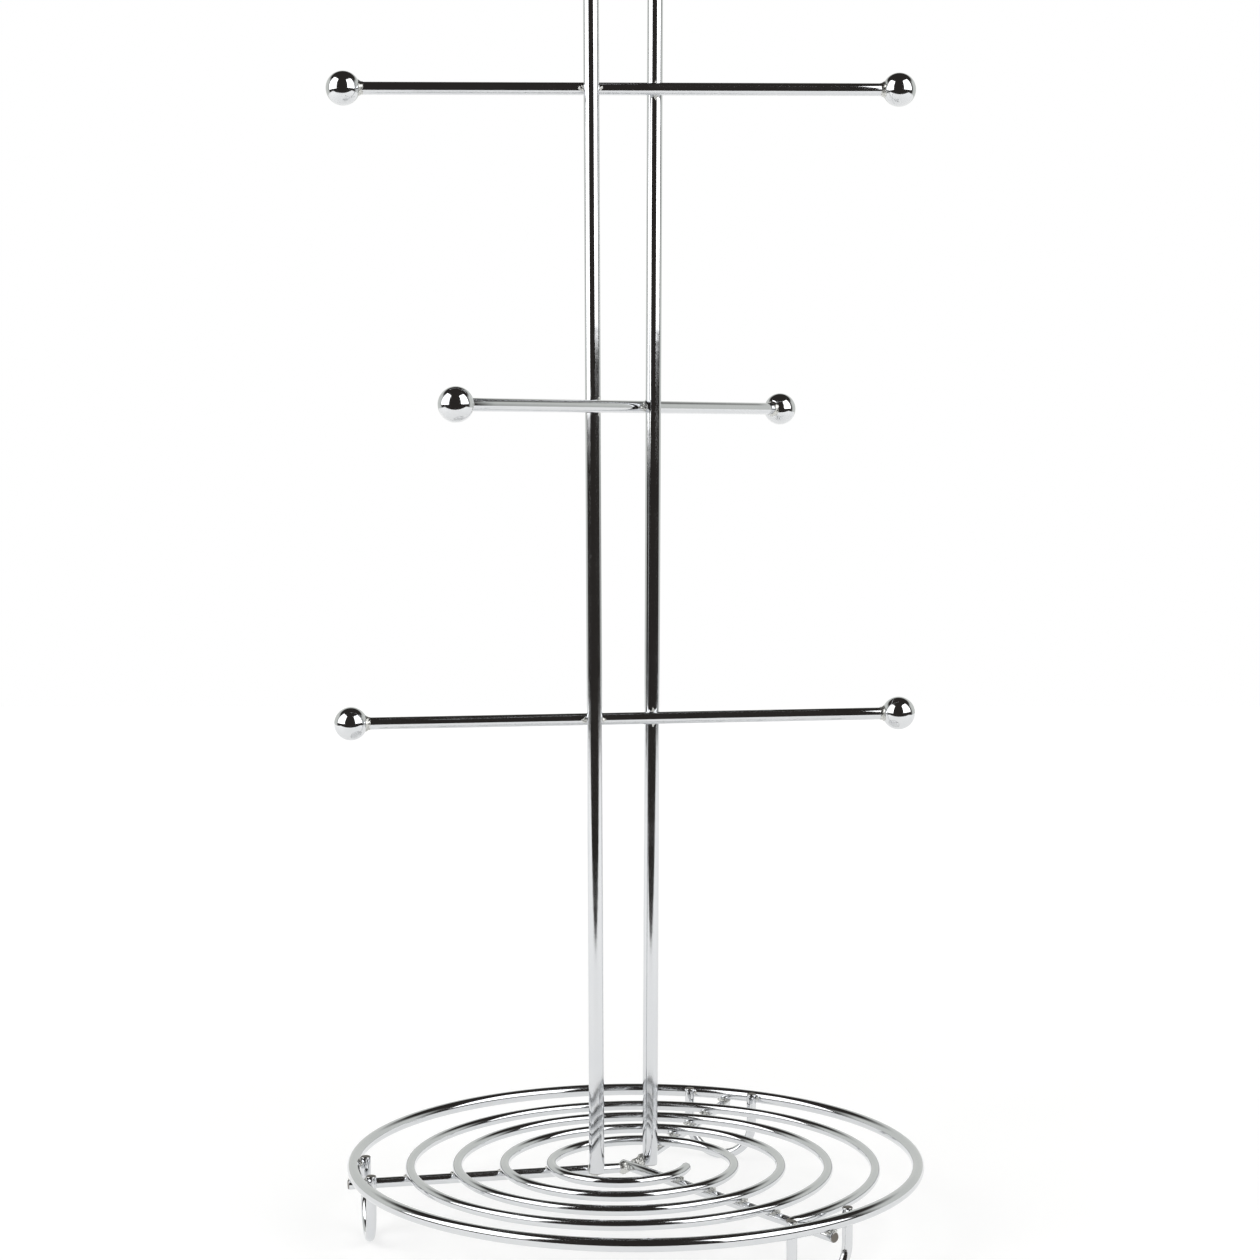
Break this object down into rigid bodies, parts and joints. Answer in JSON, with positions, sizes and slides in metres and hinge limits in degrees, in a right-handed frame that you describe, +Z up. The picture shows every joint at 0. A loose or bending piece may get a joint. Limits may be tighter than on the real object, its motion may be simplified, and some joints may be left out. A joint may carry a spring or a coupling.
{
  "type": "mug tree",
  "caption": "Free-standing chrome wire mug tree: a hairpin mast with crossed straight arms tipped with balls, on a round spiral wire base with looped feet.",
  "frame": {"origin": "on the table, under the centre of the outer ring", "axes": "+Z up the mast, +X along the line through the mast's two legs, -Y towards the front foot"},
  "size_m": [0.227, 0.227, 0.505],
  "materials": {
    "chrome_wire": "bright chrome plating on drawn steel wire",
    "chrome_ball": "bright chrome plating on a polished steel ball",
    "plated_weld": "chrome plating over rough resistance-weld metal, duller than the wire"
  },
  "bodies": {
    "root": {"mast": "chrome_wire", "top_arm": "chrome_wire", "middle_arm": "chrome_wire", "bottom_arm": "chrome_wire", "outer_ring": "chrome_wire", "base_spiral": "chrome_wire", "right_spoke": "chrome_wire", "left_spoke": "chrome_wire", "front_spoke": "chrome_wire", "right_foot": "chrome_wire", "left_foot": "chrome_wire", "front_foot": "chrome_wire", "top_left_ball": "chrome_ball", "top_right_ball": "chrome_ball", "middle_left_ball": "chrome_ball", "middle_right_ball": "chrome_ball", "bottom_left_ball": "chrome_ball", "bottom_right_ball": "chrome_ball", "top_arm_welds": "plated_weld", "middle_arm_welds": "plated_weld", "bottom_arm_welds": "plated_weld", "ball_welds": "plated_weld", "mast_welds": "plated_weld", "hub_welds": "plated_weld", "spiral_welds": "plated_weld", "ring_welds": "plated_weld", "foot_welds": "plated_weld"}
  },
  "joints": []
}
